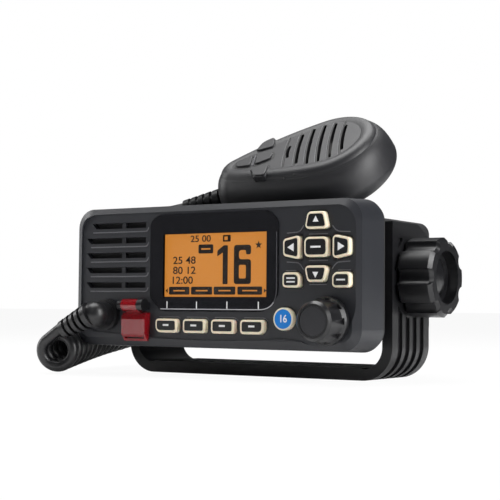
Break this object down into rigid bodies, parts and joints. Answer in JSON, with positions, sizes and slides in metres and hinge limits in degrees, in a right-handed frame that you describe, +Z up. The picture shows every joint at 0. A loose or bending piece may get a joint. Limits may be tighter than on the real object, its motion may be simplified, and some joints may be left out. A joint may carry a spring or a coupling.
{
  "type": "marine radio transceiver",
  "caption": "Fixed-mount marine radio in a yoke bracket with clamp knobs, amber display, keys, volume knob, guarded red button and a fist microphone on a curly cord.",
  "frame": {"origin": "centre of the bracket foot's underside", "axes": "+X to the right seen from the front, +Y to the back, +Z up; the face looks along -Y"},
  "size_m": [0.205, 0.154, 0.1225],
  "materials": {
    "bracket_plastic": "fine matt moulded",
    "panel_plastic": "fine grained matt",
    "seal_rubber": "matt",
    "cast_chassis": "black powder coat on casting",
    "screw_steel": "plain",
    "window_glass": "gloss",
    "lcd_amber": "backlit",
    "speaker_black": "matt",
    "speaker_mesh": "fine black cloth",
    "board_green": "solder mask",
    "socket_nickel": "nickel plated",
    "knob_black": "satin",
    "cover_red": "translucent red",
    "button_red": "red",
    "cord_rubber": "satin jacket",
    "mic_plastic": "fine grained",
    "mic_rubber": "matt",
    "key_cream": "pale translucent silicone with a black face"
  },
  "bodies": {
    "bracket": {"mounting_bracket": "bracket_plastic"},
    "radio": {"front_panel": "panel_plastic", "panel_gasket": "seal_rubber", "chassis": "cast_chassis", "chassis_screws": "screw_steel", "display_window": "window_glass", "lcd_module": "lcd_amber", "speaker": "speaker_black", "speaker_cloth": "speaker_mesh", "key_board": "board_green", "main_board": "board_green", "antenna_socket": "socket_nickel", "power_inlet": "seal_rubber", "data_inlet": "seal_rubber", "volume_encoder": "screw_steel", "distress_hinge_ears": "knob_black", "distress_hinge_pin": "screw_steel", "distress_switch": "speaker_black", "curly_cord": "cord_rubber", "cord_gland": "cord_rubber", "cord_lead": "cord_rubber", "friction_washer_left": "seal_rubber", "friction_washer_right": "seal_rubber"},
    "clamp_left": {"clamp_knob_left": "knob_black", "clamp_bolt_left": "screw_steel"},
    "clamp_right": {"clamp_knob_right": "knob_black", "clamp_bolt_right": "screw_steel"},
    "volume_push": {"volume_shaft": "screw_steel"},
    "volume_dial": {"volume_knob": "knob_black"},
    "distress_lid": {"distress_cover": "cover_red"},
    "distress_push": {"distress_button": "button_red"},
    "microphone": {"mic_front_shell": "mic_plastic", "mic_rear_shell": "mic_plastic", "mic_board": "board_green", "mic_capsule": "screw_steel", "mic_hanger_button": "knob_black", "mic_cord_relief": "cord_rubber"},
    "talk_bar": {"mic_talk_bar": "mic_rubber"},
    "soft_key_1": {"soft_key_1": "key_cream"},
    "soft_key_2": {"soft_key_2": "key_cream"},
    "soft_key_3": {"soft_key_3": "key_cream"},
    "soft_key_4": {"soft_key_4": "key_cream"},
    "key_up": {"key_up": "key_cream"},
    "key_down": {"key_down": "key_cream"},
    "key_left": {"key_left": "key_cream"},
    "key_right": {"key_right": "key_cream"},
    "key_enter": {"key_enter": "key_cream"},
    "key_menu": {"key_menu": "key_cream"},
    "key_clear": {"key_clear": "key_cream"},
    "key_blue": {"key_blue": "key_cream"},
    "mic_key_down": {"mic_key_down": "mic_rubber"},
    "mic_key_up": {"mic_key_up": "mic_rubber"},
    "mic_key_left": {"mic_key_left": "mic_rubber"},
    "mic_key_right": {"mic_key_right": "mic_rubber"}
  },
  "joints": [
    {"name": "tilt", "type": "hinge", "parent": "bracket", "child": "radio", "pos_m": [0, 0, 0.0465], "axis": [1, 0, 0], "range_deg": [-18, 18]},
    {"name": "clamp_left_turn", "type": "hinge", "parent": "radio", "child": "clamp_left", "pos_m": [-0.08, 0, 0.0465], "axis": [-1, 0, 0], "continuous": true},
    {"name": "clamp_right_turn", "type": "hinge", "parent": "radio", "child": "clamp_right", "pos_m": [0.08, 0, 0.0465], "axis": [1, 0, 0], "continuous": true},
    {"name": "volume_press", "type": "slide", "parent": "radio", "child": "volume_push", "axis": [0, 1, 0], "range_m": [0, 0.0005], "stiffness_N_per_m": 1500, "springref_m": -0.0003},
    {"name": "volume_turn", "type": "hinge", "parent": "volume_push", "child": "volume_dial", "pos_m": [0.0626, -0.06, 0.0269], "axis": [0, 1, 0], "continuous": true},
    {"name": "distress_cover_lift", "type": "hinge", "parent": "radio", "child": "distress_lid", "pos_m": [-0.0414, -0.0598, 0.0331], "axis": [-1, 0, 0], "range_deg": [0, 110], "stiffness_Nm_per_rad": 0.002, "springref_deg": -28.65},
    {"name": "distress_press", "type": "slide", "parent": "radio", "child": "distress_push", "axis": [0, 1, 0], "range_m": [0, 0.0015], "stiffness_N_per_m": 600, "springref_m": -0.0005},
    {"name": "microphone_lift", "type": "slide", "parent": "radio", "child": "microphone", "axis": [0, 0, 1], "range_m": [0, 0.06], "deforming": ["cord_lead"]},
    {"name": "talk_press", "type": "slide", "parent": "microphone", "child": "talk_bar", "axis": [0.2999, -0.7404, -0.6015], "range_m": [0, 0.0016], "stiffness_N_per_m": 800, "springref_m": -0.0005},
    {"name": "soft_key_1_press", "type": "slide", "parent": "radio", "child": "soft_key_1", "axis": [0, 1, 0], "range_m": [0, 0.0006], "stiffness_N_per_m": 600, "springref_m": -0.0003},
    {"name": "soft_key_2_press", "type": "slide", "parent": "radio", "child": "soft_key_2", "axis": [0, 1, 0], "range_m": [0, 0.0006], "stiffness_N_per_m": 600, "springref_m": -0.0003},
    {"name": "soft_key_3_press", "type": "slide", "parent": "radio", "child": "soft_key_3", "axis": [0, 1, 0], "range_m": [0, 0.0006], "stiffness_N_per_m": 600, "springref_m": -0.0003},
    {"name": "soft_key_4_press", "type": "slide", "parent": "radio", "child": "soft_key_4", "axis": [0, 1, 0], "range_m": [0, 0.0006], "stiffness_N_per_m": 600, "springref_m": -0.0003},
    {"name": "key_up_press", "type": "slide", "parent": "radio", "child": "key_up", "axis": [0, 1, 0], "range_m": [0, 0.0006], "stiffness_N_per_m": 600, "springref_m": -0.0003},
    {"name": "key_down_press", "type": "slide", "parent": "radio", "child": "key_down", "axis": [0, 1, 0], "range_m": [0, 0.0006], "stiffness_N_per_m": 600, "springref_m": -0.0003},
    {"name": "key_left_press", "type": "slide", "parent": "radio", "child": "key_left", "axis": [0, 1, 0], "range_m": [0, 0.0006], "stiffness_N_per_m": 600, "springref_m": -0.0003},
    {"name": "key_right_press", "type": "slide", "parent": "radio", "child": "key_right", "axis": [0, 1, 0], "range_m": [0, 0.0006], "stiffness_N_per_m": 600, "springref_m": -0.0003},
    {"name": "key_enter_press", "type": "slide", "parent": "radio", "child": "key_enter", "axis": [0, 1, 0], "range_m": [0, 0.0006], "stiffness_N_per_m": 600, "springref_m": -0.0003},
    {"name": "key_menu_press", "type": "slide", "parent": "radio", "child": "key_menu", "axis": [0, 1, 0], "range_m": [0, 0.0006], "stiffness_N_per_m": 600, "springref_m": -0.0003},
    {"name": "key_clear_press", "type": "slide", "parent": "radio", "child": "key_clear", "axis": [0, 1, 0], "range_m": [0, 0.0006], "stiffness_N_per_m": 600, "springref_m": -0.0003},
    {"name": "key_blue_press", "type": "slide", "parent": "radio", "child": "key_blue", "axis": [0, 1, 0], "range_m": [0, 0.0006], "stiffness_N_per_m": 600, "springref_m": -0.0003},
    {"name": "mic_key_down_press", "type": "slide", "parent": "microphone", "child": "mic_key_down", "axis": [0.0295, 0.6375, -0.7699], "range_m": [0, 0.0006], "stiffness_N_per_m": 600, "springref_m": -0.0003},
    {"name": "mic_key_up_press", "type": "slide", "parent": "microphone", "child": "mic_key_up", "axis": [0.0295, 0.6375, -0.7699], "range_m": [0, 0.0006], "stiffness_N_per_m": 600, "springref_m": -0.0003},
    {"name": "mic_key_left_press", "type": "slide", "parent": "microphone", "child": "mic_key_left", "axis": [0.0295, 0.6375, -0.7699], "range_m": [0, 0.0006], "stiffness_N_per_m": 600, "springref_m": -0.0003},
    {"name": "mic_key_right_press", "type": "slide", "parent": "microphone", "child": "mic_key_right", "axis": [0.0295, 0.6375, -0.7699], "range_m": [0, 0.0006], "stiffness_N_per_m": 600, "springref_m": -0.0003}
  ]
}
